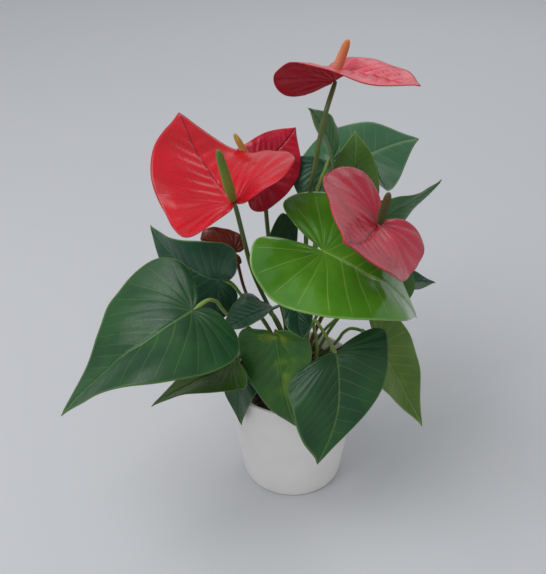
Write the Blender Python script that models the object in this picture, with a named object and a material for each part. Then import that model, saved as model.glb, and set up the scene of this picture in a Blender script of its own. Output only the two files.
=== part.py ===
"""Potted anthurium: ceramic pot, soil, heart-shaped leaves on petioles and red spathes on peduncles.

Lengths are in millimetres here and are scaled to metres when a mesh is made. +Z is up, the pot's
axis is the Z axis and its base rests on Z = 0. The plant's front faces -Y.
"""

import math

import bmesh
import bpy
import numpy as np

for old in list(bpy.data.objects):
    bpy.data.objects.remove(old, do_unlink=True)

# ---- driving dimensions (mm) -------------------------------------------------------------------
MM = 0.001
POT_HEIGHT = 122.0
RIM_RADIUS = 65.0
BASE_RADIUS = 49.0
POT_WALL = 3.0
POT_FLOOR = 5.0
EDGE_ROUND = 3.0
SOIL_BELOW_RIM = 14.0
GAP = 0.3
POT_SEGMENTS = 48

BLADE_THICKNESS = 0.8
BLADE_RINGS = 3
HALF_SPOKES = 9
FOLD = 0.05
ARCH = 0.05
STEM_SIDES = 6
STEM_STEPS = 3
PETIOLE_RADIUS = 1.7
PEDUNCLE_RADIUS = 2.1
STEM_END_RADIUS = 0.9
STEM_END_GAP = 1.5
STEM_RISE = 14.0

SOIL_TOP = POT_HEIGHT - SOIL_BELOW_RIM

# Half outlines in blade lengths, from the stalk round one basal lobe to the tip.
HEART = [(0, 0), (-.13, .04), (-.22, .12), (-.27, .22), (-.22, .34), (-.06, .405),
         (.12, .41), (.34, .36), (.56, .26), (.76, .14), (.90, .05), (1, 0)]
SPATHE = [(0, 0), (-.16, .05), (-.28, .14), (-.34, .27), (-.27, .41), (-.08, .49),
          (.13, .50), (.38, .45), (.62, .33), (.82, .17), (.93, .06), (1, 0)]

# Where each named control point lies on the flat outline; "left" is the +y half.
HEART_POINTS = dict(attach=(0, 0), tip=(1, 0), left=(.03, .412), right=(.03, -.412),
                    left_lobe=(-.27, .22), right_lobe=(-.27, -.22),
                    left_flank=(.56, .26), right_flank=(.56, -.26))
SPATHE_POINTS = dict(attach=(0, 0), tip=(1, 0), left=(.03, .5), right=(.03, -.5),
                     left_lobe=(-.34, .27), right_lobe=(-.34, -.27),
                     left_flank=(.62, .33), right_flank=(.62, -.33))

# ---- where the blades and stalks lie (mm) ------------------------------------------------------
BLADES = {
    "leaf_left_large": dict(
        attach=(-87, -60, 233), tip=(-199, -100, 153), left=(-71, -102, 199),
        right=(-147, -28, 231), left_lobe=(-51, -69, 215), right_lobe=(-96, -23, 256),
        left_flank=(-141, -120, 192), right_flank=(-164, -65, 189),
    ),
    "leaf_left_upper": dict(
        attach=(-68, 2, 223), tip=(-134, 52, 251), left=(-77, -3, 183),
        right=(-54, 3, 260), left_lobe=(-52, 8, 205), right_lobe=(-51, -13, 241),
        left_flank=(-115, 31, 216), right_flank=(-100, 21, 257),
    ),
    "leaf_left_lower": dict(
        attach=(-53, -41, 166), tip=(-129, -61, 129), left=(-42, -69, 155),
        right=(-71, -13, 172), left_lobe=(-44, -63, 180), right_lobe=(-56, -29, 191),
        left_flank=(-87, -66, 142), right_flank=(-98, -31, 138),
    ),
    "leaf_left_hanging": dict(
        attach=(-46, -40, 148), tip=(-50, -49, 94), left=(-31, -56, 148),
        right=(-64, -30, 144), left_lobe=(-38, -47, 159), right_lobe=(-54, -34, 157),
        left_flank=(-38, -55, 125), right_flank=(-61, -28, 121),
    ),
    "leaf_front_variegated": dict(
        attach=(-18, -45, 196), tip=(1, -74, 115), left=(14, -60, 202),
        right=(-48, -44, 180), left_lobe=(-10, -63, 218), right_lobe=(-41, -48, 209),
        left_flank=(11, -72, 156), right_flank=(-27, -65, 144),
    ),
    "leaf_front_dark": dict(
        attach=(34, -69, 194), tip=(18, -116, 112), left=(77, -64, 195),
        right=(-4, -91, 161), left_lobe=(62, -53, 207), right_lobe=(4, -75, 179),
        left_flank=(64, -86, 154), right_flank=(3, -105, 133),
    ),
    "leaf_right_olive": dict(
        attach=(78, -3, 152), tip=(124, -31, 77), left=(101, 31, 155),
        right=(61, -39, 155), left_lobe=(70, 26, 172), right_lobe=(59, -13, 179),
        left_flank=(117, 4, 106), right_flank=(86, -32, 111),
    ),
    "leaf_centre_bright": dict(
        attach=(21, -50, 285), tip=(104, -46, 216), left=(44, -5, 306),
        right=(-18, -97, 264), left_lobe=(-12, -14, 308), right_lobe=(-34, -62, 302),
        left_flank=(73, -20, 257), right_flank=(71, -100, 247),
    ),
    "leaf_right_round": dict(
        attach=(75, -5, 236), tip=(95, -20, 208), left=(100, 3, 233),
        right=(72, -19, 220), left_flank=(105, -8, 218), right_flank=(82, -22, 213),
    ),
    "leaf_right_pointed": dict(
        attach=(74, 42, 260), tip=(134, 62, 293), left=(65, 34, 287),
        right=(85, 56, 237), left_lobe=(53, 30, 265), right_lobe=(66, 39, 237),
        left_flank=(103, 42, 293), right_flank=(109, 68, 266),
    ),
    "leaf_right_small": dict(
        attach=(91, 45, 189), tip=(138, 51, 189), left=(90, 65, 191),
        right=(94, 26, 190), left_lobe=(77, 54, 188), right_lobe=(79, 33, 189),
        left_flank=(116, 60, 192), right_flank=(119, 35, 187),
    ),
    "leaf_back_pale": dict(
        attach=(34, 87, 295), tip=(131, 177, 282), left=(4, 115, 269),
        right=(76, 54, 283), left_lobe=(10, 78, 303), right_lobe=(54, 55, 326),
        left_flank=(60, 163, 299), right_flank=(99, 121, 255),
    ),
    "leaf_top_folded": dict(
        attach=(30, 21, 332), tip=(9, 3, 386), left=(27, -3, 326),
        right=(34, 43, 341), left_lobe=(28, 14, 312), right_lobe=(27, 39, 322),
        left_flank=(15, -2, 359), right_flank=(19, 29, 370),
    ),
    "leaf_top_olive": dict(
        attach=(50, 32, 296), tip=(53, 67, 339), left=(27, 30, 301),
        right=(73, 33, 295), left_lobe=(36, 22, 285), right_lobe=(61, 23, 283),
        left_flank=(38, 47, 326), right_flank=(66, 50, 321),
    ),
    "leaf_centre_dark": dict(
        attach=(-1, 12, 250), tip=(-33, -1, 244), left=(-8, -14, 234),
        right=(-6, 35, 272), left_lobe=(3, -6, 240), right_lobe=(3, 30, 270),
        left_flank=(-18, -12, 236), right_flank=(-17, 31, 268),
    ),
    "leaf_inner_blue": dict(
        attach=(-23, -19, 205), tip=(-65, -61, 213), left=(-9, -33, 218),
        right=(-43, -2, 208), left_lobe=(-4, -14, 208), right_lobe=(-25, 0, 196),
        left_flank=(-36, -53, 209), right_flank=(-58, -32, 208),
    ),
    "leaf_inner_round": dict(
        attach=(-1, -56, 241), tip=(5, -83, 221), left=(13, -65, 234),
        right=(-11, -65, 234), left_lobe=(9, -54, 242), right_lobe=(-10, -54, 242),
        left_flank=(11, -76, 226), right_flank=(-7, -77, 225),
    ),
    "leaf_back_hanging": dict(
        attach=(28, 70, 303), tip=(18, 41, 254), left=(46, 59, 289),
        right=(-2, 67, 292), left_lobe=(44, 71, 308), right_lobe=(7, 77, 309),
    ),
    "leaf_young_bronze": dict(
        attach=(-55, 20, 241), tip=(-87, 31, 249), left=(-62, 14, 233),
        right=(-56, 33, 256), left_flank=(-78, 22, 240), right_flank=(-80, 36, 256),
    ),
    "spathe_left": dict(
        attach=(-51, -25, 316), tip=(-100, 54, 362), left=(-102, -40, 302),
        right=(-5, -2, 345), left_lobe=(-72, -71, 314), right_lobe=(-14, -46, 344),
        left_flank=(-123, 10, 337), right_flank=(-48, 44, 321),
    ),
    "spathe_back": dict(
        attach=(-38, 51, 310), tip=(1, 78, 337), left=(-46, 62, 326),
        right=(-7, 51, 286), left_lobe=(-52, 53, 317), right_lobe=(-40, 28, 281),
        left_flank=(-22, 76, 334), right_flank=(4, 70, 309),
    ),
    "spathe_top": dict(
        attach=(28, 0, 409), tip=(86, -51, 425), left=(35, 40, 407),
        right=(-14, -31, 428), left_lobe=(7, 29, 384), right_lobe=(-8, -10, 398),
        left_flank=(82, -7, 412), right_flank=(42, -56, 422),
    ),
    "spathe_right": dict(
        attach=(65, -41, 305), tip=(29, -135, 344), left=(87, -64, 272),
        right=(19, -21, 333), left_lobe=(101, -22, 284), right_lobe=(57, 4, 324),
        left_flank=(60, -118, 298), right_flank=(17, -87, 338),
    ),
    "spathe_low": dict(
        attach=(33, -40, 173), tip=(26, -67, 138), left=(59, -42, 166),
        right=(-1, -63, 148), left_lobe=(53, -32, 180), right_lobe=(8, -50, 163),
    ),
}

# Each stalk: where it leaves the soil (x, y), then the points it passes on its way to its blade.
ROUTES = {
    "petiole_left_large": [(-16.2, -5.2), (-39, -15, 180), (-59, -28, 206), (-75, -49, 236)],
    "petiole_left_upper": [(-13.3, 4.2), (-28, 0, 180), (-47, 0, 206), (-58, 2, 220)],
    "petiole_left_lower": [(-8.6, -14), (-28, -17, 160), (-44, -30, 166)],
    "petiole_left_hanging": [(-20, 1), (-34, -14, 136), (-41, -31, 143)],
    "petiole_front_variegated": [(2.1, -17.9), (-6, -24, 170), (-14, -36, 190)],
    "petiole_front_dark": [(22, -8.6), (21, -12, 158), (19, -32, 201), (27, -42, 193)],
    "petiole_right_olive": [(23.9, 13.3), (38, 0, 152), (52, -2, 172), (66, 0, 166)],
    "petiole_centre_bright": [(-0.9, -9.7), (6, -4, 150), (25, -8, 205), (26, -33, 262)],
    "petiole_right_round": [(16.9, -3.9), (67, 8, 216)],
    "petiole_right_pointed": [(13.6, 15.1), (67, 50, 236)],
    "petiole_right_small": [(16.6, 22.0), (80, 45, 180)],
    "petiole_back_pale": [(-4.4, 16.9), (-2, 52, 190), (20, 100, 280)],
    "petiole_top_folded": [(12, 9), (20, 33, 244), (19, 28, 300)],
    "petiole_top_olive": [(10.5, 20.5), (38, 42, 237), (48, 36, 279)],
    "petiole_centre_dark": [(-3, 6), (-2, 18, 215)],
    "petiole_inner_blue": [(-4, -2), (-10, -8, 170), (-17, -14, 192)],
    "petiole_inner_round": [(13.3, -15.9), (6, -20, 205)],
    "petiole_back_hanging": [(4.9, 13.1), (12, 38, 190), (28, 78, 270)],
    "petiole_young_bronze": [(-8, 12), (-30, 17, 169), (-45, 20, 198), (-52, 21, 229)],
    "peduncle_left": [(2.4, 1.6), (-17, 4, 176), (-36, 4, 225), (-44, -16, 275)],
    "peduncle_back": [(-9.2, 19), (-8, 20, 163), (-16, 34, 191), (-24, 44, 246), (-30, 56, 289)],
    "peduncle_top": [(9.1, 1.6), (10, 5, 165), (10, 7, 224), (10, 4, 300), (14, -10, 338), (21, -14, 388)],
    "peduncle_right": [(9, -9.6), (18, 2, 160), (38, 14, 200), (80, 14, 258), (80, -10, 290)],
    "peduncle_low": [(25.7, 2.6), (31, -8, 150), (34, -22, 166)],
}
# Spadix: its top (mm) and its greatest radius; it stands on its spathe where the peduncle meets it.
SPADICES = {
    "spadix_left": ((-61, -50, 374), 4.2),
    "spadix_back": ((-53, 44, 346), 3.2),
    "spadix_top": ((37, -2, 442), 3.8),
    "spadix_right": ((70, -50, 338), 3.8),
}
SPADIX_LIFT = 2.6

COLOURS = {
    "pot": ((.62, .59, .57), .5), "soil": ((.045, .03, .022), .95),
    "leaf": ((.05, .13, .03), .35), "leaf_centre_bright": ((.12, .26, .03), .3),
    "leaf_right_olive": ((.16, .24, .03), .4), "leaf_top_olive": ((.15, .22, .04), .4),
    "leaf_back_pale": ((.12, .24, .15), .4), "leaf_young_bronze": ((.18, .05, .03), .4),
    "spathe": ((.55, .01, .03), .3), "spathe_low": ((.16, .02, .02), .4),
    "petiole": ((.14, .22, .03), .45), "petiole_young_bronze": ((.16, .03, .02), .45),
    "peduncle": ((.11, .12, .02), .45), "spadix": ((.75, .3, .12), .6),
    "spadix_left": ((.5, .6, .12), .6), "spadix_right": ((.09, .11, .03), .6),
}


# ---- helpers -----------------------------------------------------------------------------------
def material_for(name):
    """Give a node its own Principled material, by its full name or its first word."""
    colour, roughness = COLOURS.get(name, COLOURS[name.split("_")[0]])
    material = bpy.data.materials.new(name + "_finish")
    material.use_nodes = True
    shader = material.node_tree.nodes["Principled BSDF"]
    shader.inputs["Base Color"].default_value = (*colour, 1)
    shader.inputs["Roughness"].default_value = roughness
    shader.inputs["Metallic"].default_value = 0
    return material


def add_object(name, points, faces, smooth=True):
    """Make one named closed mesh object from points in mm, with its faces turned outwards."""
    mesh = bpy.data.meshes.new(name)
    mesh.from_pydata((np.asarray(points) * MM).tolist(), [], faces)
    bm = bmesh.new()
    bm.from_mesh(mesh)
    bmesh.ops.recalc_face_normals(bm, faces=bm.faces)
    bm.to_mesh(mesh)
    bm.free()
    mesh.polygons.foreach_set("use_smooth", [smooth] * len(mesh.polygons))
    mesh.materials.append(material_for(name))
    obj = bpy.data.objects.new(name, mesh)
    bpy.context.collection.objects.link(obj)
    return obj


def smooth_curve(points, steps):
    """Smooth curve through the points, with this many steps in each span and no overshoot."""
    points = np.asarray(points, float)
    padded = np.vstack([2 * points[0] - points[1], points, 2 * points[-1] - points[-2]])
    span = np.diff(padded, axis=0)
    length = np.linalg.norm(span, axis=1)[:, None]
    before, after = length[:-1], length[1:]
    slope = (span[1:] / after * before + span[:-1] / before * after) / (before + after)
    curve = []
    for i in range(len(points) - 1):
        reach = length[i + 1]
        for t in np.arange(steps) / steps:
            start_part = (2 * t ** 3 - 3 * t ** 2 + 1) * points[i]
            end_part = (3 * t ** 2 - 2 * t ** 3) * points[i + 1]
            bend = (t ** 3 - 2 * t ** 2 + t) * slope[i] + (t ** 3 - t ** 2) * slope[i + 1]
            curve.append(start_part + end_part + reach * bend)
    curve.append(points[-1])
    return np.array(curve)


def thin_plate(flat, places):
    """Return a function that carries flat blade coordinates smoothly through the given places."""
    def kernel(a, b):
        r = np.maximum(np.linalg.norm(a[:, None] - b[None], axis=2), 1e-9)
        return r * r * np.log(r)
    n = len(flat)
    affine = np.column_stack([np.ones(n), flat])
    system = np.block([[kernel(flat, flat), affine], [affine.T, np.zeros((3, 3))]])
    weights = np.linalg.solve(system, np.vstack([places, np.zeros((3, 3))]))

    def carry(q):
        return kernel(q, flat) @ weights[:n] + np.column_stack([np.ones(len(q)), q]) @ weights[n:]
    return carry


def blade_sheet(points, q, flat_points):
    """Middle surface and normals of a blade at the flat coordinates q."""
    names = [name for name in flat_points if name in points]
    flat = np.array([flat_points[name] for name in names], float)
    carry = thin_plate(flat, np.array([points[name] for name in names], float))
    step = 1e-3
    du = carry(q + [step, 0]) - carry(q - [step, 0])
    dv = carry(q + [0, step]) - carry(q - [0, step])
    normal = np.cross(du, dv)
    normal /= np.linalg.norm(normal, axis=1)[:, None]
    length = np.linalg.norm(np.subtract(points["tip"], points["attach"]))
    x = np.clip(q[:, 0], 0, 1)
    rise = ARCH * 4 * x * (1 - x)
    along = np.clip(1 - ((q[:, 0] - .2) / .8) ** 2, 0, 1)
    rise = rise + FOLD * (1 - np.exp(-(q[:, 1] / .12) ** 2)) * along
    return carry(q) + normal * (length * rise)[:, None], normal


def add_blade(name, points):
    """A thin closed blade: rings of points round the stalk, open at the sinus between the lobes."""
    spathe = name.startswith("spathe")
    half = smooth_curve([(x, y, 0) for x, y in (SPATHE if spathe else HEART)], 4)[:, :2]
    chosen = np.linspace(0, len(half) - 1, HALF_SPOKES + 1).round().astype(int)[1:]
    left = half[chosen]
    rim = np.vstack([left, left[-2::-1] * [1, -1]])
    count = len(rim)
    q = [(0.0, 0.0)]
    for ring in range(1, BLADE_RINGS + 1):
        q += [tuple(rim[i] * ring / BLADE_RINGS) for i in range(count)]
    middle, normal = blade_sheet(points, np.array(q), SPATHE_POINTS if spathe else HEART_POINTS)
    offset = normal * BLADE_THICKNESS / 2
    under = len(q)
    faces = []
    for i in range(count - 1):
        faces.append((0, 1 + i, 2 + i))
        for ring in range(BLADE_RINGS - 1):
            a = 1 + ring * count + i
            faces.append((a, a + count, a + count + 1, a + 1))
    faces += [tuple(under + v for v in face[::-1]) for face in faces]
    last = 1 + (BLADE_RINGS - 1) * count
    edge = [0] + [1 + ring * count for ring in range(BLADE_RINGS)]
    edge += list(range(last + 1, last + count))
    edge += [ring * count for ring in range(BLADE_RINGS - 1, 0, -1)]
    for a, b in zip(edge, edge[1:] + edge[:1]):
        faces.append((a, under + a, under + b, b))
    add_object(name, np.vstack([middle + offset, middle - offset]), faces)


def add_tube(name, path, radii, sides=STEM_SIDES, upright=False):
    """A closed round stalk along a path, with its radius at each point."""
    path = np.asarray(path, float)
    tangent = np.gradient(path, axis=0)
    tangent /= np.linalg.norm(tangent, axis=1)[:, None]
    if upright:
        tangent[0] = (0, 0, 1)
    side = np.cross(tangent[0], (1.0, 0.0, 0.0))
    points = []
    for centre, along, radius in zip(path, tangent, radii):
        side = side - along * (side @ along)
        side /= np.linalg.norm(side)
        other = np.cross(along, side)
        for k in range(sides):
            angle = 2 * math.pi * k / sides
            points.append(centre + radius * (math.cos(angle) * side + math.sin(angle) * other))
    faces = [tuple(range(sides)), tuple(range(len(points) - sides, len(points)))]
    for ring in range(len(path) - 1):
        for k in range(sides):
            a, b = ring * sides + k, ring * sides + (k + 1) % sides
            faces.append((a, b, b + sides, a + sides))
    add_object(name, points, faces)


def add_lathe(name, profile, segments):
    """Turn a closed (radius, height) profile that starts and ends on the axis."""
    points = [(0, 0, profile[0][1]), (0, 0, profile[-1][1])]
    inner = profile[1:-1]
    for radius, height in inner:
        for k in range(segments):
            angle = 2 * math.pi * k / segments
            points.append((radius * math.cos(angle), radius * math.sin(angle), height))
    faces = []
    for k in range(segments):
        after = (k + 1) % segments
        faces.append((0, 2 + k, 2 + after))
        top = 2 + (len(inner) - 1) * segments
        faces.append((1, top + k, top + after))
        for ring in range(len(inner) - 1):
            a = 2 + ring * segments
            faces.append((a + k, a + after, a + after + segments, a + k + segments))
    add_object(name, points, faces)


# ---- pot and soil ------------------------------------------------------------------------------
def outer_radius(height):
    """The pot's outer radius at a height: the wall flares evenly from base to rim."""
    return BASE_RADIUS + (RIM_RADIUS - BASE_RADIUS) * height / POT_HEIGHT


def add_pot():
    corner = [(BASE_RADIUS - EDGE_ROUND * (1 - math.sin(a)), EDGE_ROUND * (1 - math.cos(a)))
              for a in np.radians((0, 30, 60, 90))]
    wall_out = [(outer_radius(h), h) for h in (POT_HEIGHT * .5, POT_HEIGHT - 1)]
    rim = [(RIM_RADIUS - 1, POT_HEIGHT), (RIM_RADIUS - POT_WALL + 1, POT_HEIGHT)]
    wall_in = [(outer_radius(h) - POT_WALL, h) for h in (POT_HEIGHT - 1, POT_HEIGHT * .5)]
    floor = [(outer_radius(POT_FLOOR) - POT_WALL, POT_FLOOR)]
    profile = [(0, 0), *corner, *wall_out, *rim, *wall_in, *floor, (0, POT_FLOOR)]
    add_lathe("pot", profile, POT_SEGMENTS)


def add_soil():
    low = POT_FLOOR + GAP
    inside = POT_WALL + 2 * GAP
    profile = [(0, low), (outer_radius(low) - inside, low),
               (outer_radius(SOIL_TOP) - inside, SOIL_TOP - 1),
               (outer_radius(SOIL_TOP) - inside - 2, SOIL_TOP), (0, SOIL_TOP)]
    add_lathe("soil", profile, POT_SEGMENTS)


# ---- plant -------------------------------------------------------------------------------------
def blade_name(stem_name):
    kind, rest = stem_name.split("_", 1)
    return ("spathe_" if kind == "peduncle" else "leaf_") + rest


def add_stems():
    for name, (foot, *passed) in ROUTES.items():
        blade = BLADES[blade_name(name)]
        spathe = name.startswith("peduncle")
        flat_points = SPATHE_POINTS if spathe else HEART_POINTS
        attach, normal = blade_sheet(blade, np.array([(0.0, 0.0)]), flat_points)
        end = attach[0] - normal[0] * STEM_END_GAP
        start = np.array([*foot, SOIL_TOP + GAP])
        rising = start + (0, 0, STEM_RISE)
        path = smooth_curve([start, rising, *passed, end], STEM_STEPS)
        base = PEDUNCLE_RADIUS if spathe else PETIOLE_RADIUS
        radii = np.full(len(path), base)
        radii[-3:] = np.linspace(base, STEM_END_RADIUS, 4)[1:]
        add_tube(name, path, radii, upright=True)


def add_spadix(name, top, radius):
    """A tapered finger that stands on its spathe, narrow where it joins."""
    spathe = BLADES[name.replace("spadix", "spathe")]
    attach, normal = blade_sheet(spathe, np.array([(0.0, 0.0)]), SPATHE_POINTS)
    base = attach[0] + normal[0] * SPADIX_LIFT
    share = np.array([0, .12, .3, .6, .85, .95, 1.0])
    width = radius * np.array([.4, .85, 1.0, .9, .75, .5, .15])
    add_tube(name, [base + (np.array(top) - base) * s for s in share], width, sides=8)


add_pot()
add_soil()
for blade, control_points in BLADES.items():
    add_blade(blade, control_points)
add_stems()
for spadix, (high_end, thick) in SPADICES.items():
    add_spadix(spadix, high_end, thick)
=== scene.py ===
# %% [markdown]
# # A potted anthurium, built around its CAD frame
# The frame holds the plain shape of every leaf, flower and stalk in its true place.
# Each cell below reads one kind of shape from the frame and makes a finished piece from it:
# finer, veined, folded and coloured. Nothing in the frame itself is moved.

# %% Load the frame
import math

import bpy
import numpy as np
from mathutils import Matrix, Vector


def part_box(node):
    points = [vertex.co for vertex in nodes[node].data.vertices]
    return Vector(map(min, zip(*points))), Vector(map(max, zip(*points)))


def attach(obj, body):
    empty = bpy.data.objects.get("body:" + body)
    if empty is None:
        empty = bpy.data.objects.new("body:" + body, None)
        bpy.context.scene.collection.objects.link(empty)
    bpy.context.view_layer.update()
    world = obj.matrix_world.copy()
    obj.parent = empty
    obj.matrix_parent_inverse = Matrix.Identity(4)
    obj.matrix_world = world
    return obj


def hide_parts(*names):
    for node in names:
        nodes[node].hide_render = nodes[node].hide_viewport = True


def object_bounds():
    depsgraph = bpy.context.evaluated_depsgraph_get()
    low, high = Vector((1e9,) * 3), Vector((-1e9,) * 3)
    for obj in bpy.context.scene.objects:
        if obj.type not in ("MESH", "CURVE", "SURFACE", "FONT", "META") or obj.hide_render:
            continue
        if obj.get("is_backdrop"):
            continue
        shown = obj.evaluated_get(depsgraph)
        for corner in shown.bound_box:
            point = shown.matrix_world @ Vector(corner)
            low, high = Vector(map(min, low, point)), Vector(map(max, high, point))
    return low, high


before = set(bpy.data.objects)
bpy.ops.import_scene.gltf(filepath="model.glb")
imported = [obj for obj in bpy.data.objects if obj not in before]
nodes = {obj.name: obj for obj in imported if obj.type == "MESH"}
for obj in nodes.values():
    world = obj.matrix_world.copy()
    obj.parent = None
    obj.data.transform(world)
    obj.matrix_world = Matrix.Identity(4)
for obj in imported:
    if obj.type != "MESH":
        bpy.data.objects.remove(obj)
bounds_at_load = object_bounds()
print("frame nodes:", len(nodes))

# %% [markdown]
# ## Shared numbers
# Lengths are metres, as everywhere in Blender. The two half outlines are the same
# hearts that the frame's blades use, given in blade lengths: the stalk joins at (0, 0), and
# the tip is at (1, 0). A spathe, the red bract of the flower, is rounder than a leaf.

# %% Sizes and outlines
MM = 0.001
rng = np.random.default_rng(11)
CAD_RINGS = 3
CAD_HALF_SPOKES = 9
CAD_CURVE_STEPS = 4
FINE_RINGS = 30
FINE_CURVE_STEPS = 5
SHEET_HALF_THICKNESS = 0.3 * MM
SAME_POINT = 0.02 * MM

LEAF_OUTLINE = [(0, 0), (-.13, .04), (-.22, .12), (-.27, .22), (-.22, .34), (-.06, .405),
                (.12, .41), (.34, .36), (.56, .26), (.76, .14), (.90, .05), (1, 0)]
SPATHE_OUTLINE = [(0, 0), (-.16, .05), (-.28, .14), (-.34, .27), (-.27, .41), (-.08, .49),
                  (.13, .50), (.38, .45), (.62, .33), (.82, .17), (.93, .06), (1, 0)]


# %% Curves and the thin plate
def smooth_curve(points, steps):
    """A smooth curve through the points, with this many steps in each span."""
    points = np.asarray(points, float)
    padded = np.vstack([2 * points[0] - points[1], points, 2 * points[-1] - points[-2]])
    span = np.diff(padded, axis=0)
    length = np.linalg.norm(span, axis=1)[:, None]
    before, after = length[:-1], length[1:]
    slope = (span[1:] / after * before + span[:-1] / before * after) / (before + after)
    curve = []
    for i in range(len(points) - 1):
        for t in np.arange(steps) / steps:
            start_share = 2 * t ** 3 - 3 * t ** 2 + 1
            ends = start_share * points[i] + (3 * t ** 2 - 2 * t ** 3) * points[i + 1]
            bend = (t ** 3 - 2 * t ** 2 + t) * slope[i] + (t ** 3 - t ** 2) * slope[i + 1]
            curve.append(ends + length[i + 1] * bend)
    curve.append(points[-1])
    return np.array(curve)


def thin_plate(flat, places):
    """Return a function that carries flat coordinates smoothly through the given places."""
    def kernel(a, b):
        r = np.maximum(np.linalg.norm(a[:, None] - b[None], axis=2), 1e-9)
        return r * r * np.log(r)
    n = len(flat)
    plane = np.column_stack([np.ones(n), flat])
    system = np.block([[kernel(flat, flat), plane], [plane.T, np.zeros((3, 3))]])
    weights = np.linalg.solve(system, np.vstack([places, np.zeros((3, 3))]))

    def carry(q):
        return kernel(q, flat) @ weights[:n] + np.column_stack([np.ones(len(q)), q]) @ weights[n:]
    return carry


def rim_points(outline, steps):
    """The whole outline, from one side of the sinus round the tip to the other side."""
    half = smooth_curve(outline, steps)
    left = half[1:]
    return np.vstack([left, left[-2::-1] * [1, -1]])


def polar_grid(rim, rings):
    """The stalk's point, then evenly shrunk copies of the rim."""
    return np.vstack([[(0.0, 0.0)]] + [rim * ring / rings for ring in range(1, rings + 1)])


def cad_rim(outline):
    """The outline's points that the frame's blades have on their rim."""
    half = smooth_curve(outline, CAD_CURVE_STEPS)
    chosen = np.linspace(0, len(half) - 1, CAD_HALF_SPOKES + 1).round().astype(int)[1:]
    left = half[chosen]
    return np.vstack([left, left[-2::-1] * [1, -1]])


print("rim points on a leaf:", len(rim_points(LEAF_OUTLINE, FINE_CURVE_STEPS)))

# %% [markdown]
# ## Reading a blade back from the frame
# A frame blade is two thin sheets, one above the other, made of rings round the point where
# the stalk joins. Joining each point with its twin in the other sheet leaves one middle sheet.
# Its centre is the point with the most neighbours, and the steps from there give the ring.


# %% Read meshes as points and neighbours
def points_and_links(node):
    """A frame node's merged points in metres, and for each the set of its neighbours."""
    mesh = nodes[node].data
    places = np.empty(len(mesh.vertices) * 3)
    mesh.vertices.foreach_get("co", places)
    places = places.reshape(-1, 3)
    keys = np.round(places / SAME_POINT).astype(int)
    _, first, which = np.unique(keys, axis=0, return_index=True, return_inverse=True)
    which = which.ravel()
    links = [set() for _ in first]
    for edge in mesh.edges:
        a, b = (int(which[v]) for v in edge.vertices)
        if a != b:
            links[a].add(b)
            links[b].add(a)
    return places[first], links


def steps_from(starts, links):
    """How many links each point is away from the starting points."""
    steps = {v: 0 for v in starts}
    queue = list(starts)
    for v in queue:
        for other in links[v]:
            if other not in steps:
                steps[other] = steps[v] + 1
                queue.append(other)
    return np.array([steps.get(v, -1) for v in range(len(links))])


def walk(members, links, start):
    """Put a chain of linked members in order, from one end."""
    chain = [start]
    left = set(members) - {start}
    while left:
        following = [v for v in links[chain[-1]] if v in left]
        if not following:
            raise ValueError("a ring of the blade is broken")
        chain.append(following[0])
        left.discard(following[0])
    return chain


# %% Read a blade's middle sheet
def middle_sheet(node):
    """The blade's middle points in ring order, from the centre outwards."""
    places, links = points_and_links(node)
    gaps = np.linalg.norm(places[:, None] - places[None], axis=2)
    np.fill_diagonal(gaps, 1)
    twin = gaps.argmin(axis=1)
    group = np.minimum(np.arange(len(twin)), twin)
    roots = sorted(set(group.tolist()))
    index = {root: i for i, root in enumerate(roots)}
    middle = np.array([(places[r] + places[twin[r]]) / 2 for r in roots])
    joined = [set() for _ in roots]
    for v, others in enumerate(links):
        for other in others:
            a, b = index[int(group[v])], index[int(group[other])]
            if a != b:
                joined[a].add(b)
    centre = max(range(len(joined)), key=lambda v: len(joined[v]))
    ring_of = steps_from([centre], joined)
    ordered = [centre]
    before = None
    for ring in range(1, CAD_RINGS + 1):
        members = [v for v in range(len(joined)) if ring_of[v] == ring]
        ends = [v for v in members if sum(ring_of[o] == ring for o in joined[v]) == 1]
        if before is not None and before not in joined[ends[0]]:
            ends.reverse()
        chain = walk(members, joined, ends[0])
        before = chain[0]
        ordered += chain
    return middle[ordered]


print("points in one middle sheet:", len(middle_sheet("leaf_left_large")))


# %% [markdown]
# ## Stalks in the frame
# A frame stalk is a six-sided tube. Its foot is the lowest ring, and the steps from the foot
# number the other rings, so the mean of each ring is a point of the stalk's centre line.


# %% Read a stalk's centre line
SPADIX_SIDES = 8
FOOT_DEPTH = 0.1 * MM


def centre_line(node, near=None):
    """Ring centres of a frame tube, from its foot, or from the end nearest to a place."""
    places, links = points_and_links(node)
    if near is None:
        starts = np.flatnonzero(places[:, 2] < places[:, 2].min() + FOOT_DEPTH)
    else:
        axis = places - places.mean(axis=0)
        along = axis @ np.linalg.svd(axis, full_matrices=False)[2][0]
        low, high = along.argsort()[:SPADIX_SIDES], along.argsort()[-SPADIX_SIDES:]
        starts = min((low, high), key=lambda g: np.linalg.norm(places[g].mean(axis=0) - near))
    ring_of = steps_from([int(v) for v in starts], links)
    return np.array([places[ring_of == ring].mean(axis=0) for ring in range(ring_of.max() + 1)])


print("rings in one stalk:", len(centre_line("petiole_left_large")))


# %% [markdown]
# ## Veins
# A leaf has a midrib, side veins that leave it and sweep towards the tip, and basal veins that
# fan out from the stalk into the lobes. One number, the vein phase, grows along the midrib and
# round the fan, and a vein lies wherever it is a whole number. The same number shapes the
# surface here and draws the thin pale lines in the finish, so both always agree.


# %% Vein phase and relief
VEIN_SWEEP = 0.75
FAN_RATE = 0.32
MIDRIB_DEPTH = 0.9 * MM


def vein_phase(q, count):
    """Whole numbers of this are veins; count is how many leave each side of the midrib."""
    along, across = q[:, 0], np.abs(q[:, 1])
    side = along - VEIN_SWEEP * across
    turn = np.arctan2(across, along) - math.atan2(1, VEIN_SWEEP)
    return count * np.where(side >= 0, side, -FAN_RATE * turn)


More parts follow.
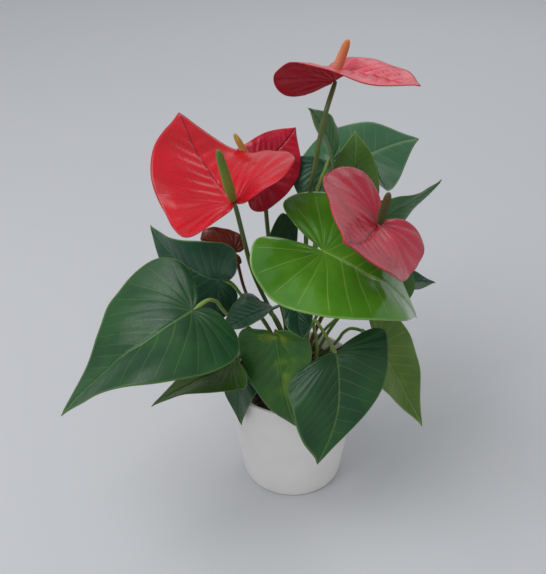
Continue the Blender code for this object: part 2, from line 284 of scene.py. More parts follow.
def vein_relief(q, phase, share, puckered):
    """Height of the surface at each point, in metres: low along veins, full between them."""
    quilt = 0.5 - 0.5 * np.cos(2 * math.pi * phase)
    fade = np.clip(share * 3, 0, 1) * np.clip((1 - share) * 5, 0, 1)
    midrib = np.exp(-(q[:, 1] / 0.014) ** 2) * np.clip(q[:, 0] * 12, 0, 1)
    return puckered * quilt ** 0.6 * fade - MIDRIB_DEPTH * midrib


# %% Add one piece
def add_piece(name, points, faces, finish, node):
    """Make one mesh piece, give it its finish and hide the frame node it stands for."""
    mesh = bpy.data.meshes.new(name)
    mesh.from_pydata(np.asarray(points).tolist(), [], faces)
    mesh.polygons.foreach_set("use_smooth", [True] * len(mesh.polygons))
    mesh.materials.append(finish)
    mesh.validate()
    obj = bpy.data.objects.new(name, mesh)
    bpy.context.scene.collection.objects.link(obj)
    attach(obj, "root")
    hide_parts(node)
    return obj


# %% Build a finished blade
def sheet_faces(count, rings, under):
    """Faces of two stacked sheets with a common border, open at the sinus."""
    top = []
    for i in range(count - 1):
        top.append((0, 1 + i, 2 + i))
        for ring in range(rings - 1):
            a = 1 + ring * count + i
            top.append((a, a + count, a + count + 1, a + 1))
    faces = top + [tuple(under + v for v in face[::-1]) for face in top]
    last = 1 + (rings - 1) * count
    border = [0] + [1 + ring * count for ring in range(rings)]
    border += list(range(last + 1, last + count))
    border += [ring * count for ring in range(rings - 1, 0, -1)]
    faces += [(a, under + a, under + b, b) for a, b in zip(border, border[1:] + border[:1])]
    return faces


def store_vectors(obj, name, values):
    """Store three numbers at each point."""
    data = values.astype(np.float32).ravel()
    obj.data.attributes.new(name, "FLOAT_VECTOR", "POINT").data.foreach_set("vector", data)


def store_numbers(obj, name, values):
    """Store one number at each point."""
    data = np.asarray(values, np.float32)
    obj.data.attributes.new(name, "FLOAT", "POINT").data.foreach_set("value", data)


def finished_blade(node, stalk, outline, finish, veins, puckered, ripple):
    """A fine veined blade from a frame blade; the stalk's end tells which side is under."""
    carry = thin_plate(polar_grid(cad_rim(outline), CAD_RINGS), middle_sheet(node))
    rim = rim_points(outline, FINE_CURVE_STEPS)
    q = polar_grid(rim, FINE_RINGS)
    share = np.concatenate([[0], np.repeat(np.arange(1, FINE_RINGS + 1) / FINE_RINGS, len(rim))])
    step = 1e-3
    du = carry(q + [step, 0]) - carry(q - [step, 0])
    dv = carry(q + [0, step]) - carry(q - [0, step])
    normal = np.cross(du, dv)
    normal /= np.linalg.norm(normal, axis=1)[:, None]
    middle = carry(q)
    flipped = (middle[0] - centre_line(stalk)[-1]) @ normal[0] < 0
    if flipped:
        normal = -normal
    phase = vein_phase(q, veins)
    turn = np.arctan2(q[:, 1], q[:, 0])
    start = rng.uniform(0, 6)
    wave = np.sin(5 * turn + start) + 0.6 * np.sin(11 * turn + 2 * start)
    height = vein_relief(q, phase, share, puckered) + ripple * wave * share ** 4
    middle = middle + normal * height[:, None]
    offset = normal * SHEET_HALF_THICKNESS
    faces = sheet_faces(len(rim), FINE_RINGS, len(q))
    if flipped:
        faces = [face[::-1] for face in faces]
    obj = add_piece(node + "_finished", np.vstack([middle + offset, middle - offset]),
                    faces, finish, node)
    at = np.column_stack([phase, q[:, 1], share])
    store_vectors(obj, "blade_at", np.vstack([at, at]))
    store_numbers(obj, "underside", np.repeat([0.0, 1.0], len(q)))


# %% [markdown]
# ## Finishes
# Leaves and spathes share two effects, so each is a node group. `vein_lines` turns the vein
# phase into thin lines, and `mottle` gives slow and fine changes of tone, because no living
# leaf is one flat green. Each material places the groups with values of its own.


# %% Node helpers
def new_group(name, inputs, outputs):
    """An empty shader node group: inputs are (name, value), outputs are names."""
    group = bpy.data.node_groups.new(name, "ShaderNodeTree")
    for title, value in inputs:
        kind = "NodeSocketVector" if title == "Vector" else "NodeSocketFloat"
        made = group.interface.new_socket(name=title, in_out="INPUT", socket_type=kind)
        if kind == "NodeSocketFloat":
            made.default_value = value
    for title in outputs:
        group.interface.new_socket(name=title, in_out="OUTPUT", socket_type="NodeSocketFloat")
    return group, group.nodes.new("NodeGroupInput"), group.nodes.new("NodeGroupOutput")


def maths(tree, operation, *values):
    """A Math node fed with sockets or plain numbers; gives its output."""
    node = tree.nodes.new("ShaderNodeMath")
    node.operation = operation
    for socket, value in zip(node.inputs, values):
        if isinstance(value, (int, float)):
            socket.default_value = value
        else:
            tree.links.new(value, socket)
    return node.outputs[0]


def spread(tree, value, low, high, to_low, to_high):
    """A Map Range node: value from low..high becomes to_low..to_high, held at the ends."""
    node = tree.nodes.new("ShaderNodeMapRange")
    node.interpolation_type = "SMOOTHSTEP"
    limits = {"From Min": low, "From Max": high, "To Min": to_low, "To Max": to_high}
    for title, number in limits.items():
        if isinstance(number, (int, float)):
            node.inputs[title].default_value = number
        else:
            tree.links.new(number, node.inputs[title])
    tree.links.new(value, node.inputs["Value"])
    return node.outputs["Result"]


def blend_colours(tree, share, first, second):
    """A Mix node for colours, fed with sockets or (r, g, b) colours; gives its output."""
    node = tree.nodes.new("ShaderNodeMix")
    node.data_type = "RGBA"
    fed = ((node.inputs[0], share), (node.inputs[6], first), (node.inputs[7], second))
    for socket, value in fed:
        if isinstance(value, (int, float)):
            socket.default_value = value
        elif isinstance(value, tuple):
            socket.default_value = (*value, 1)
        else:
            tree.links.new(value, socket)
    return node.outputs[2]


# %% Group: vein lines
vein_group, vein_in, vein_out = new_group(
    "vein_lines", [("Phase", 0), ("Across", 0), ("Share", 0), ("Width", 0.09)],
    ["Veins", "Midrib", "Margin"])
phase_off = maths(vein_group, "PINGPONG", vein_in.outputs["Phase"], 0.5)
narrowing = maths(vein_group, "MULTIPLY", vein_in.outputs["Width"],
                  spread(vein_group, vein_in.outputs["Share"], 0, 1, 1.3, 0.5))
side_veins = spread(vein_group, phase_off, 0, narrowing, 1, 0)
side_veins = maths(vein_group, "MULTIPLY", side_veins,
                   spread(vein_group, vein_in.outputs["Share"], 0.86, 0.97, 1, 0))
vein_group.links.new(side_veins, vein_out.inputs["Veins"])
off_midrib = maths(vein_group, "ABSOLUTE", vein_in.outputs["Across"])
vein_group.links.new(spread(vein_group, off_midrib, 0.002, 0.011, 1, 0),
                     vein_out.inputs["Midrib"])
vein_group.links.new(spread(vein_group, vein_in.outputs["Share"], 0.965, 0.995, 0, 1),
                     vein_out.inputs["Margin"])
print("group:", vein_group.name)

# %% Group: mottle
mottle_group, mottle_in, mottle_out = new_group(
    "mottle", [("Vector", 0), ("Large", 30.0), ("Small", 400.0)], ["Tone", "Grain"])
for title, socket in (("Tone", "Large"), ("Grain", "Small")):
    noise = mottle_group.nodes.new("ShaderNodeTexNoise")
    noise.inputs["Detail"].default_value = 4
    mottle_group.links.new(mottle_in.outputs["Vector"], noise.inputs["Vector"])
    mottle_group.links.new(mottle_in.outputs[socket], noise.inputs["Scale"])
    mottle_group.links.new(noise.outputs["Fac"], mottle_out.inputs[title])
print("group:", mottle_group.name)


# %% Start a material
COAT_ROUGHNESS = 0.12
BLADE_SPECULAR = 0.3


def new_finish(name, roughness, coat=0.0):
    """A material with a Principled shader; gives the material, its tree and the shader."""
    material = bpy.data.materials.new(name)
    material.use_nodes = True
    tree = material.node_tree
    shader = tree.nodes["Principled BSDF"]
    shader.inputs["Roughness"].default_value = roughness
    shader.inputs["Coat Weight"].default_value = coat
    shader.inputs["Coat Roughness"].default_value = COAT_ROUGHNESS
    return material, tree, shader


def place_mottle(tree, large, small):
    """Put the mottle group in a material, in object coordinates."""
    where = tree.nodes.new("ShaderNodeTexCoord")
    node = tree.nodes.new("ShaderNodeGroup")
    node.node_tree = mottle_group
    node.inputs["Large"].default_value = large
    node.inputs["Small"].default_value = small
    tree.links.new(where.outputs["Object"], node.inputs["Vector"])
    return node


def add_bump(tree, shader, height, distance, strength):
    """Feed a height to the shader's normal through a Bump node."""
    bump = tree.nodes.new("ShaderNodeBump")
    bump.inputs["Distance"].default_value = distance
    bump.inputs["Strength"].default_value = strength
    tree.links.new(height, bump.inputs["Height"])
    tree.links.new(bump.outputs["Normal"], shader.inputs["Normal"])


# %% Blade finish
def blade_finish(name, colour, shade, vein, vein_share, roughness, coat=0.0,
                 under=None, margin=None, patch=None):
    """A veined finish: colour and shade mottle together, and the veins have a third colour."""
    material, tree, shader = new_finish(name, roughness, coat)
    shader.inputs["Specular IOR Level"].default_value = BLADE_SPECULAR
    read = tree.nodes.new("ShaderNodeAttribute")
    read.attribute_name = "blade_at"
    parts = tree.nodes.new("ShaderNodeSeparateXYZ")
    tree.links.new(read.outputs["Vector"], parts.inputs[0])
    lines = tree.nodes.new("ShaderNodeGroup")
    lines.node_tree = vein_group
    for title, output in (("Phase", "X"), ("Across", "Y"), ("Share", "Z")):
        tree.links.new(parts.outputs[output], lines.inputs[title])
    lines.inputs["Width"].default_value = 0.07
    mottle = place_mottle(tree, 28.0, 520.0)
    tone = spread(tree, mottle.outputs["Tone"], 0.36, 0.64, 0, 1)
    paint = blend_colours(tree, tone, colour, shade)
    if patch is not None:
        patches = spread(tree, mottle.outputs["Tone"], 0.5, 0.62, 0, 1)
        inner = spread(tree, parts.outputs["Z"], 0.15, 0.75, 1, 0)
        paint = blend_colours(tree, maths(tree, "MULTIPLY", patches, inner), paint, patch)
    veined = maths(tree, "MULTIPLY", lines.outputs["Veins"], vein_share)
    paint = blend_colours(tree, veined, paint, vein)
    ribbed = maths(tree, "MULTIPLY", lines.outputs["Midrib"], min(1.0, vein_share * 1.6))
    paint = blend_colours(tree, ribbed, paint, vein)
    if margin is not None:
        paint = blend_colours(tree, lines.outputs["Margin"], paint, margin)
    if under is not None:
        side = tree.nodes.new("ShaderNodeAttribute")
        side.attribute_name = "underside"
        below = maths(tree, "MULTIPLY", side.outputs["Fac"], 0.75)
        paint = blend_colours(tree, below, paint, under)
    tree.links.new(paint, shader.inputs["Base Color"])
    raised = maths(tree, "SUBTRACT", mottle.outputs["Grain"],
                   maths(tree, "MULTIPLY", lines.outputs["Veins"], 0.8))
    add_bump(tree, shader, raised, 0.25 * MM, 0.35)
    worn = spread(tree, mottle.outputs["Grain"], 0.3, 0.7, roughness * 0.85, roughness * 1.2)
    tree.links.new(worn, shader.inputs["Roughness"])
    return material


# %% [markdown]
# ## Colours of the leaves
# Old leaves are a deep blue-green, the light ones are olive, and the large young one in the
# middle is bright and shiny. Each leaf has a finish of its own.

# %% Leaf finishes
DARK = dict(colour=(.012, .06, .020), shade=(.020, .085, .024), vein=(.13, .25, .06), vein_share=.3,
            roughness=.34, under=(.06, .14, .06), margin=(.09, .17, .04))
BLUE = dict(DARK, colour=(.010, .055, .026), shade=(.018, .080, .036), vein=(.12, .24, .10))
OLIVE = dict(colour=(.075, .16, .016), shade=(.11, .20, .022), vein=(.22, .33, .08), vein_share=.5,
             roughness=.36, under=(.14, .22, .07), margin=(.18, .28, .06))
BRIGHT = dict(colour=(.055, .21, .012), shade=(.085, .27, .018), vein=(.26, .42, .09), vein_share=.5,
              roughness=.2, coat=.6, under=(.12, .27, .05), margin=(.17, .34, .06))
PALE = dict(colour=(.030, .11, .045), shade=(.045, .14, .06), vein=(.18, .30, .14), vein_share=.4,
            roughness=.32, under=(.10, .19, .10), margin=(.11, .22, .09))
BRONZE = dict(colour=(.16, .022, .016), shade=(.23, .040, .022), vein=(.10, .012, .012), vein_share=.7,
              roughness=.25, under=(.20, .04, .03), margin=(.13, .02, .02))
LEAF_LOOKS = {
    "left_lower": ("leaf_dark", dict(DARK, colour=(.045, .12, .014), shade=(.07, .15, .02))),
    "left_upper": ("leaf_dark", BLUE),
    "back_hanging": ("leaf_dark", BLUE),
    "inner_blue": ("leaf_dark", BLUE),
    "inner_round": ("leaf_dark", dict(BLUE, margin=(.16, .30, .07))),
    "right_small": ("leaf_dark", BLUE),
    "front_variegated": ("leaf_dark", dict(DARK, colour=(.025, .10, .018), shade=(.045, .14, .02),
                                           patch=(.26, .33, .03))),
    "top_folded": ("leaf_dark", dict(DARK, colour=(.03, .13, .02), shade=(.05, .17, .03),
                                     margin=(.24, .38, .12))),
    "right_round": ("leaf_dark", dict(DARK, colour=(.035, .11, .012), shade=(.05, .14, .02))),
    "right_pointed": ("leaf_dark", dict(DARK, colour=(.025, .12, .02), shade=(.04, .15, .03))),
    "right_olive": ("leaf_olive", OLIVE),
    "top_olive": ("leaf_olive", dict(OLIVE, colour=(.055, .15, .016), shade=(.08, .18, .022))),
    "centre_bright": ("leaf_bright", BRIGHT),
    "back_pale": ("leaf_pale", PALE),
    "young_bronze": ("leaf_bronze", BRONZE),
}

# %% Make every leaf
leaf_nodes = sorted(name for name in nodes if name.startswith("leaf_"))
for node in leaf_nodes:
    plain = node[len("leaf_"):]
    slot, look = LEAF_LOOKS.get(plain, ("leaf_dark", DARK))
    wrinkled = plain == "young_bronze"
    finish = blade_finish(plain + "_leaf_green", **look)
    finished_blade(node, "petiole_" + plain, LEAF_OUTLINE, finish,
                   veins=9, puckered=(1.2 if wrinkled else 0.6) * MM,
                   ripple=(1.5 if wrinkled else 0.8) * MM)
print("leaves:", len(leaf_nodes))

# %% [markdown]
# ## Spathes
# A spathe is waxy and strongly puckered, with its veins pressed in. It is made like a leaf,
# with more relief, a smoother surface under a light coat, and fewer, wider veins.

# %% Spathe finishes
RED = dict(colour=(.50, .002, .010), shade=(.60, .004, .016), vein=(.30, .001, .007), vein_share=.6,
           roughness=.27, coat=.15, under=(.36, .006, .02), margin=(.48, .015, .03))
SPATHE_LOOKS = {
    "left": ("spathe_red", RED),
    "back": ("spathe_red", dict(RED, colour=(.46, .008, .028), shade=(.58, .016, .045))),
    # The top spathe is given a pinker, lighter red: its own red with a painted pink sheen from its
    # upper surface.
    "top": ("spathe_red", dict(RED, colour=(.54, .014, .035), shade=(.64, .035, .07))),
    "right": ("spathe_pink", dict(RED, colour=(.44, .012, .035), shade=(.54, .03, .06),
                                  vein=(.30, .005, .018))),
    # The low spathe hangs behind a leaf: its much darker red is painted shade cast by that leaf.
    "low": ("spathe_dark", dict(RED, colour=(.17, .010, .014), shade=(.25, .018, .02),
                                vein=(.10, .006, .008), roughness=.3)),
}

# %% Make every spathe
spathe_nodes = sorted(name for name in nodes if name.startswith("spathe_"))
for node in spathe_nodes:
    plain = node[len("spathe_"):]
    slot, look = SPATHE_LOOKS[plain]
    finish = blade_finish(plain + "_spathe_red", **look)
    finished_blade(node, "peduncle_" + plain, SPATHE_OUTLINE, finish,
                   veins=8, puckered=1.5 * MM, ripple=0.9 * MM)
print("spathes:", len(spathe_nodes))


# %% [markdown]
# ## Stalks
# A leaf's stalk widens at the soil and again in a short knee just below the blade, where it
# turns the leaf to the light. A swept tube with a changing radius gives both.


# %% Sweep a tube
def tube_parts(path, radii, sides):
    """Points and faces of a closed round tube along a path."""
    tangent = np.gradient(path, axis=0)
    tangent /= np.linalg.norm(tangent, axis=1)[:, None]
    side = np.cross(tangent[0], (1.0, 0.0, 0.0))
    angles = np.arange(sides) * 2 * math.pi / sides
    points = []
    for centre, along, radius in zip(path, tangent, radii):
        side = side - along * (side @ along)
        side /= np.linalg.norm(side)
        other = np.cross(along, side)
        points += [centre + radius * (math.cos(a) * side + math.sin(a) * other) for a in angles]
    faces = [tuple(range(sides))[::-1], tuple(range(len(points) - sides, len(points)))]
    for ring in range(len(path) - 1):
        for k in range(sides):
            a, b = ring * sides + k, ring * sides + (k + 1) % sides
            faces.append((a, b, b + sides, a + sides))
    return points, faces


# %% Stalk finish
def stalk_finish(name, colour, shade, foot):
    """Streaked green, with a browner foot where the stalk leaves the soil."""
    material, tree, shader = new_finish(name, .38)
    mottle = place_mottle(tree, 60.0, 700.0)
    paint = blend_colours(tree, spread(tree, mottle.outputs["Tone"], .35, .65, 0, 1), colour, shade)
    where = tree.nodes.new("ShaderNodeAttribute")
    where.attribute_name = "along"
    low = spread(tree, where.outputs["Fac"], 0.05, 0.45, 1, 0)
    paint = blend_colours(tree, low, paint, foot)
    tree.links.new(paint, shader.inputs["Base Color"])
    add_bump(tree, shader, mottle.outputs["Grain"], 0.2 * MM, 0.3)
    return material


# %% Stalk colours
STALK_GREEN = stalk_finish("petiole_green", (.10, .22, .03), (.16, .28, .04), (.09, .14, .03))
STALK_PALE = stalk_finish("petiole_pale_green", (.22, .33, .06), (.28, .38, .09), (.14, .20, .04))
STALK_RED = stalk_finish("petiole_bronze_red", (.15, .03, .02), (.22, .05, .03), (.10, .05, .02))
FLOWER_STALK = stalk_finish("peduncle_olive", (.07, .12, .02), (.11, .14, .03), (.09, .06, .02))
FLOWER_STALK_RED = stalk_finish("peduncle_dark_red", (.07, .10, .02), (.10, .10, .03),
                                (.14, .02, .02))
PALE_STALKS = ("petiole_left_large", "petiole_front_dark", "petiole_top_folded",
               "petiole_centre_bright")
print("pale stalks:", len(PALE_STALKS))

# %% Make every stalk
STALK_SIDES = 12
STALK_STEPS = 4
INTO_BLADE = 1.2 * MM
FLOWER_STALK_RADIUS = 2.0 * MM
LEAF_STALK_RADIUS = 1.55 * MM
FOOT_SWELL, FOOT_REACH = 0.45, 9 * MM
KNEE_SWELL, KNEE_PLACE, KNEE_REACH = 0.55 * MM, 9 * MM, 7 * MM
END_NARROWING, END_REACH = 0.35, 2.5 * MM


def stalk_radii(travelled, flower):
    """Radius along a stalk: swollen foot, a knee under a leaf, and a narrow end."""
    to_end = travelled[-1] - travelled
    base = FLOWER_STALK_RADIUS if flower else LEAF_STALK_RADIUS
    radii = base * (1 + FOOT_SWELL * np.exp(-travelled / FOOT_REACH))
    if not flower:
        radii += KNEE_SWELL * np.exp(-((to_end - KNEE_PLACE) / KNEE_REACH) ** 2)
    return radii * (1 - END_NARROWING * np.exp(-to_end / END_REACH))


def stalk_look(node):
    """The finish and slot of a stalk."""
    if node.startswith("peduncle_"):
        return (FLOWER_STALK_RED if node == "peduncle_right" else FLOWER_STALK), "peduncle"
    if node == "petiole_young_bronze":
        return STALK_RED, "petiole_red"
    return (STALK_PALE if node in PALE_STALKS else STALK_GREEN), "petiole"


stalk_nodes = sorted(name for name in nodes if name.startswith(("petiole_", "peduncle_")))
for node in stalk_nodes:
    line = centre_line(node)
    reach = line[-1] - line[-2]
    end = line[-1] + reach / np.linalg.norm(reach) * INTO_BLADE
    path = smooth_curve(np.vstack([line, end]), STALK_STEPS)
    travelled = np.concatenate([[0], np.cumsum(np.linalg.norm(np.diff(path, axis=0), axis=1))])
    radii = stalk_radii(travelled, flower=node.startswith("peduncle_"))
    finish, slot = stalk_look(node)
    points, faces = tube_parts(path, radii, STALK_SIDES)
    made = add_piece(node + "_finished", points, faces, finish, node)
    store_numbers(made, "along", np.repeat(travelled / travelled[-1], STALK_SIDES))
print("stalks:", len(stalk_nodes))


# %% [markdown]
# ## Spadices
# A spadix is a finger crowded with tiny flowers, set in spirals. A smooth core carries small
# beads, each turned by the golden angle from the one before, as they grow on the plant.


# %% Bead shape
def bead_parts():
    """Points and triangles of a small round bead with unit radius."""
    bpy.ops.mesh.primitive_ico_sphere_add(subdivisions=2, radius=1)
    shape = bpy.context.object
    points = np.array([v.co[:] for v in shape.data.vertices])
    faces = [tuple(p.vertices) for p in shape.data.polygons]
    mesh = shape.data
    bpy.data.objects.remove(shape)
    bpy.data.meshes.remove(mesh)
    return points, faces


BEAD_POINTS, BEAD_FACES = bead_parts()
GOLDEN_ANGLE = math.pi * (3 - math.sqrt(5))
SPADIX_SHARE = np.array([0, .12, .3, .6, .85, .95, 1.0])
SPADIX_WIDTH = np.array([.5, .85, 1.0, .9, .75, .5, .15])
print("bead faces:", len(BEAD_FACES))


# %% Spadix finish
def spadix_finish(name, low, high):
    """Two tones that meet somewhere along the finger, with a fine grain."""
    material, tree, shader = new_finish(name, .5)
    where = tree.nodes.new("ShaderNodeAttribute")
    where.attribute_name = "along"
    mottle = place_mottle(tree, 300.0, 2000.0)
    mixed = maths(tree, "ADD", where.outputs["Fac"],
                  maths(tree, "MULTIPLY", maths(tree, "SUBTRACT", mottle.outputs["Tone"], .5), .5))
    paint = blend_colours(tree, spread(tree, mixed, .45, .9, 0, 1), low, high)
    tree.links.new(paint, shader.inputs["Base Color"])
    add_bump(tree, shader, mottle.outputs["Grain"], 0.1 * MM, 0.3)
    return material


SPADIX_LOOKS = {
    "left": ("spadix_green", 3.9, (.20, .26, .03), (.13, .22, .03)),
    "back": ("spadix_orange", 3.0, (.62, .20, .06), (.55, .40, .08)),
    "top": ("spadix_orange", 3.6, (.68, .26, .14), (.62, .22, .06)),
    "right": ("spadix_brown", 3.6, (.07, .10, .02), (.10, .08, .02)),
}

# %% Build a beaded finger
BEADS_PER_MM = 9.0
BEAD_RADIUS = 0.62 * MM
BEAD_SINK = 0.1 * MM
FINGER_SIDES = 16


def finger_radius(share, widest):
    """The finger's radius at a share of its length."""
    return np.interp(share, SPADIX_SHARE, SPADIX_WIDTH) * widest


def beaded_finger(foot, top, widest):
    """Points, faces and places along of a smooth core with spirals of beads on it."""
    share = np.linspace(0, 1, 25)
    path = foot + (top - foot) * share[:, None]
    points, faces = tube_parts(path, finger_radius(share, widest), FINGER_SIDES)
    along = list(np.repeat(share, FINGER_SIDES))
    length = np.linalg.norm(top - foot)
    axis = (top - foot) / length
    side = np.cross(axis, (0, 1.0, 0))
    side /= np.linalg.norm(side)
    other = np.cross(axis, side)
    beads = int(length / MM * BEADS_PER_MM)
    for i in range(beads):
        at = 0.03 + 0.96 * i / beads
        turn = i * GOLDEN_ANGLE
        around = math.cos(turn) * side + math.sin(turn) * other
        radius = finger_radius(at, widest)
        size = BEAD_RADIUS * (0.65 + 0.35 * radius / widest)
        centre = foot + axis * length * at + around * (radius - BEAD_SINK)
        start = len(points)
        points += list(centre + BEAD_POINTS * size)
        faces += [tuple(start + v for v in face) for face in BEAD_FACES]
        along += [at] * len(BEAD_POINTS)
    return points, faces, along, beads


# %% Make every spadix
for plain, (slot, widest, low, high) in SPADIX_LOOKS.items():
    node = "spadix_" + plain
    line = centre_line(node, near=middle_sheet("spathe_" + plain)[0])
    foot = line[0] - (line[1] - line[0]) * 0.3
    points, faces, along, beads = beaded_finger(foot, line[-1], widest * MM)
    finish = spadix_finish(plain + "_spadix", low, high)
    store_numbers(add_piece(node + "_finished", points, faces, finish, node), "along", along)
    print(node, "beads:", beads)


# %% [markdown]
# ## Pot
# The pot has a matt white glaze: a plain cup with a soft foot and a thin
# rounded rim. A lathe, which turns one profile round the axis, gives it with few numbers, and
# its height and rim come from the frame's own box for the pot.


# %% Turn a profile
def turned(profile, segments):
    """Points and faces of a closed profile turned about the upright axis."""
    points = [(0, 0, profile[0][1]), (0, 0, profile[-1][1])]
    inner = profile[1:-1]
    angles = np.arange(segments) * 2 * math.pi / segments
    for radius, height in inner:
        points += [(radius * math.cos(a), radius * math.sin(a), height) for a in angles]
    faces = []
    top = 2 + (len(inner) - 1) * segments
    for k in range(segments):
        after = (k + 1) % segments
        faces += [(0, 2 + after, 2 + k), (1, top + k, top + after)]
        for ring in range(len(inner) - 1):
            a = 2 + ring * segments
            faces.append((a + k, a + after, a + after + segments, a + k + segments))
    return points, faces


# %% Pot sizes and glaze
pot_low, pot_high = (np.array(corner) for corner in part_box("pot"))
POT_HEIGHT = pot_high[2] - pot_low[2]
RIM_RADIUS = (pot_high[0] - pot_low[0]) / 2
BASE_RADIUS = 49 * MM
POT_WALL = 3 * MM
FOOT_ROUND = 3 * MM

glaze, glaze_tree, glaze_shader = new_finish("matt_white_glaze", .5)
glaze_mottle = place_mottle(glaze_tree, 40.0, 1500.0)
glaze_tone = spread(glaze_tree, glaze_mottle.outputs["Tone"], .3, .7, 0, 1)
glaze_tree.links.new(blend_colours(glaze_tree, glaze_tone, (.83, .80, .775), (.86, .83, .805)),
                     glaze_shader.inputs["Base Color"])
add_bump(glaze_tree, glaze_shader, glaze_mottle.outputs["Grain"], 0.08 * MM, 0.25)


# %% Pot profile
def wall_radius(height):
    """The pot's outer radius at a height: the wall flares evenly from base to rim."""
    return BASE_RADIUS + (RIM_RADIUS - BASE_RADIUS) * height / POT_HEIGHT


foot_turn = np.radians(np.arange(0, 91, 15))
profile = [(0, 0.6 * MM), (BASE_RADIUS - 9 * MM, 0.6 * MM), (BASE_RADIUS - 7 * MM, 0)]
profile += [(BASE_RADIUS - FOOT_ROUND * (1 - math.sin(a)), FOOT_ROUND * (1 - math.cos(a)))
            for a in foot_turn]
profile += [(wall_radius(h), h) for h in np.linspace(FOOT_ROUND * 2, POT_HEIGHT - 2 * MM, 12)]
lip = POT_WALL / 2
lip_centre = (wall_radius(POT_HEIGHT) - lip, POT_HEIGHT - lip)
profile += [(lip_centre[0] + lip * math.cos(a), lip_centre[1] + lip * math.sin(a))
            for a in np.radians(np.arange(15, 180, 15))]
profile += [(wall_radius(h) - POT_WALL, h) for h in np.linspace(POT_HEIGHT - 2 * MM, 6 * MM, 8)]
profile += [(0, 5 * MM)]
pot_points, pot_faces = turned(profile, 128)
add_piece("pot_finished", pot_points, pot_faces, glaze, "pot")
print("pot height and rim radius:", round(POT_HEIGHT, 4), round(RIM_RADIUS, 4))

# %% [markdown]
# ## Soil
# The compost is dark and uneven, with bark chips, a little moss and a few white grains of
# perlite. The bed is a turned disc whose top is pushed up and down, and the loose bits are
# small lumps scattered over it, one mesh for each kind.

# %% Soil finish and bed
soil_low, soil_high = (np.array(corner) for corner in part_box("soil"))
SOIL_TOP = soil_high[2]
SOIL_RADIUS = (soil_high[0] - soil_low[0]) / 2
BED_DROP = 1 * MM
LUMP_HEIGHT = 0.35 * MM


def crumb_finish(name, colour, shade):
    """A dull, grainy finish for soil, bark, moss and perlite."""
    material, tree, shader = new_finish(name, .9)
    mottle = place_mottle(tree, 250.0, 1400.0)
    tone = spread(tree, mottle.outputs["Tone"], .4, .6, 0, 1)
    tree.links.new(blend_colours(tree, tone, colour, shade), shader.inputs["Base Color"])
    add_bump(tree, shader, mottle.outputs["Grain"], 0.6 * MM, 0.6)
    return material


bed_shares = np.linspace(0.04, 1, 26)
bed_profile = [(0, soil_low[2]), (SOIL_RADIUS * 0.78, soil_low[2])]
bed_profile += [(SOIL_RADIUS * s, SOIL_TOP - BED_DROP) for s in bed_shares[::-1]]
bed_profile += [(0, SOIL_TOP - BED_DROP)]
bed_points, bed_faces = turned(bed_profile, 96)
bed_points = np.array(bed_points)
on_top = bed_points[:, 2] > soil_low[2] + 20 * MM
lump = sum(np.sin(bed_points[:, :2] @ rng.normal(0, 350, 2) + rng.uniform(0, 6))
           for _ in range(7))
bed_points[:, 2] += np.where(on_top, lump * LUMP_HEIGHT, 0)
compost = crumb_finish("dark_compost", (.018, .011, .007), (.05, .032, .02))
add_piece("soil_bed", bed_points, bed_faces, compost, "soil")
print("soil bed points:", len(bed_points))


# %% Scatter loose bits
SCATTER_REACH = 0.93


def scatter(name, count, finish, sizes, height):
    """One mesh of many small rough lumps that lie on the soil."""
    points, faces = [], []
    for _ in range(count):
        radius = SOIL_RADIUS * SCATTER_REACH * math.sqrt(rng.uniform())
        turn = rng.uniform(0, 2 * math.pi)
        bit = BEAD_POINTS * (1 + 0.35 * rng.normal(size=(len(BEAD_POINTS), 1)).clip(-1, 1))
        bit = bit * np.array(sizes) * MM * rng.uniform(0.6, 1.4)
        heading, tilt = rng.uniform(0, 2 * math.pi), rng.normal(0, 0.35)
        c, s, ct, st = math.cos(heading), math.sin(heading), math.cos(tilt), math.sin(tilt)
        tilted = bit @ np.array([[ct, 0, -st], [0, 1, 0], [st, 0, ct]])
        bit = tilted @ np.array([[c, s, 0], [-s, c, 0], [0, 0, 1]])
        across, back = radius * math.cos(turn), radius * math.sin(turn)
        centre = np.array([across, back, SOIL_TOP + height * MM])
        start = len(points)
        points += list(centre + bit)
        faces += [tuple(start + v for v in face) for face in BEAD_FACES]
    made = add_piece(name, points, faces, finish, "soil")
    made.data.polygons.foreach_set("use_smooth", [False] * len(made.data.polygons))
    print(name, count)


bark = crumb_finish("brown_bark", (.07, .035, .018), (.13, .07, .035))
crumbs = crumb_finish("black_crumbs", (.02, .012, .008), (.06, .035, .02))
moss = crumb_finish("yellow_moss", (.10, .13, .015), (.16, .18, .03))
perlite = crumb_finish("white_perlite", (.7, .7, .68), (.6, .6, .57))
scatter("bark_chips", 150, bark, (3.4, 1.8, .8), .2)
scatter("compost_crumbs", 420, crumbs, (1.1, .9, .7), 0)
scatter("moss_tufts", 45, moss, (1.6, 1.3, .9), .4)
scatter("perlite_grains", 3, perlite, (1.7, 1.4, 1.2), 1.0)

# %% [markdown]
# ## Floor, light and camera
# The floor is a plain pale grey sheet. One broad lamp high on the left gives the soft shadow,
# one behind puts the sheen on the leaves, and the world fills the rest evenly.

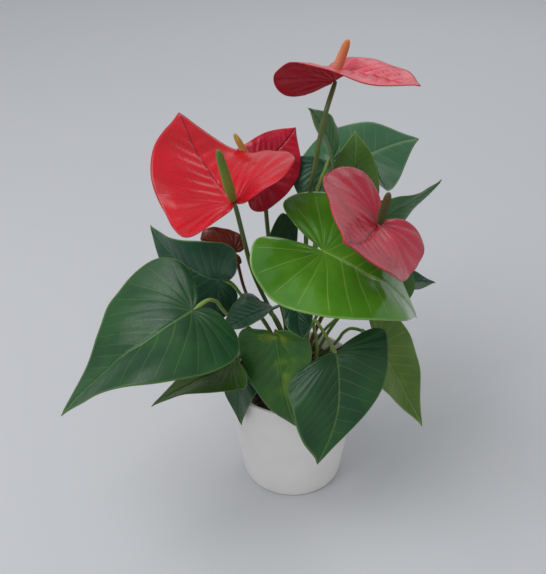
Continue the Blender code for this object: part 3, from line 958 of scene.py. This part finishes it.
# %% Floor
bpy.ops.mesh.primitive_plane_add(size=8)
floor = bpy.context.object
floor.name = "floor"
floor_finish, _, floor_shader = new_finish("pale_floor", .9)
floor_shader.inputs["Base Color"].default_value = (.585, .595, .615, 1)
floor_shader.inputs["Specular IOR Level"].default_value = .1
floor.data.materials.append(floor_finish)
floor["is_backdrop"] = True
print("floor:", floor.name)


# %% Lamps and world
def add_lamp(name, place, aim, size, power):
    """A square area lamp at a place, turned towards a point."""
    data = bpy.data.lights.new(name, "AREA")
    data.size = size
    data.energy = power
    lamp = bpy.data.objects.new(name, data)
    lamp.location = place
    lamp.rotation_euler = (Vector(aim) - Vector(place)).to_track_quat("-Z", "Y").to_euler()
    bpy.context.scene.collection.objects.link(lamp)


add_lamp("key_lamp", (-.8, -.5, 1.7), (0, 0, .2), 1.2, 17)
add_lamp("sheen_lamp", (.5, 1.5, 1.3), (0, 0, .25), 1.0, 3.5)
world = bpy.data.worlds.new("even_light")
bpy.context.scene.world = world
world.use_nodes = True
background = world.node_tree.nodes["Background"]
background.inputs["Color"].default_value = (.60, .61, .63, 1)
background.inputs["Strength"].default_value = 0.85
print("lamps:", len(bpy.data.lights))

# %% [markdown]
# ## Camera
# The camera looks down on the plant a little, from close by, with a short portrait lens.
# It is set here once, and nothing in the materials knows where it stands.

# %% Camera
camera_data = bpy.data.cameras.new("camera")
camera_data.sensor_width = 36
camera_data.lens = 54.1
camera = bpy.data.objects.new("camera", camera_data)
camera.location = (-.0196, -.644, .648)
camera.rotation_euler = (math.radians(56.2), 0, 0)
bpy.context.scene.collection.objects.link(camera)
bpy.context.scene.camera = camera
bpy.context.scene.view_settings.view_transform = "Standard"
print("camera:", camera.location[:])

# %% [markdown]
# ## Sizes
# Both sizes of the scene, at load and at the end, are printed.

# %% Print the sizes
def as_lists(value):
    """Nested vectors as plain lists."""
    if isinstance(value, dict):
        return {key: as_lists(item) for key, item in value.items()}
    if hasattr(value, "__len__") and not isinstance(value, str):
        return [as_lists(item) for item in value]
    return value if isinstance(value, (str, int, type(None))) else float(value)


sizes = {"at_load": as_lists(bounds_at_load), "at_finish": as_lists(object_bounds())}
print("sizes:", sizes)
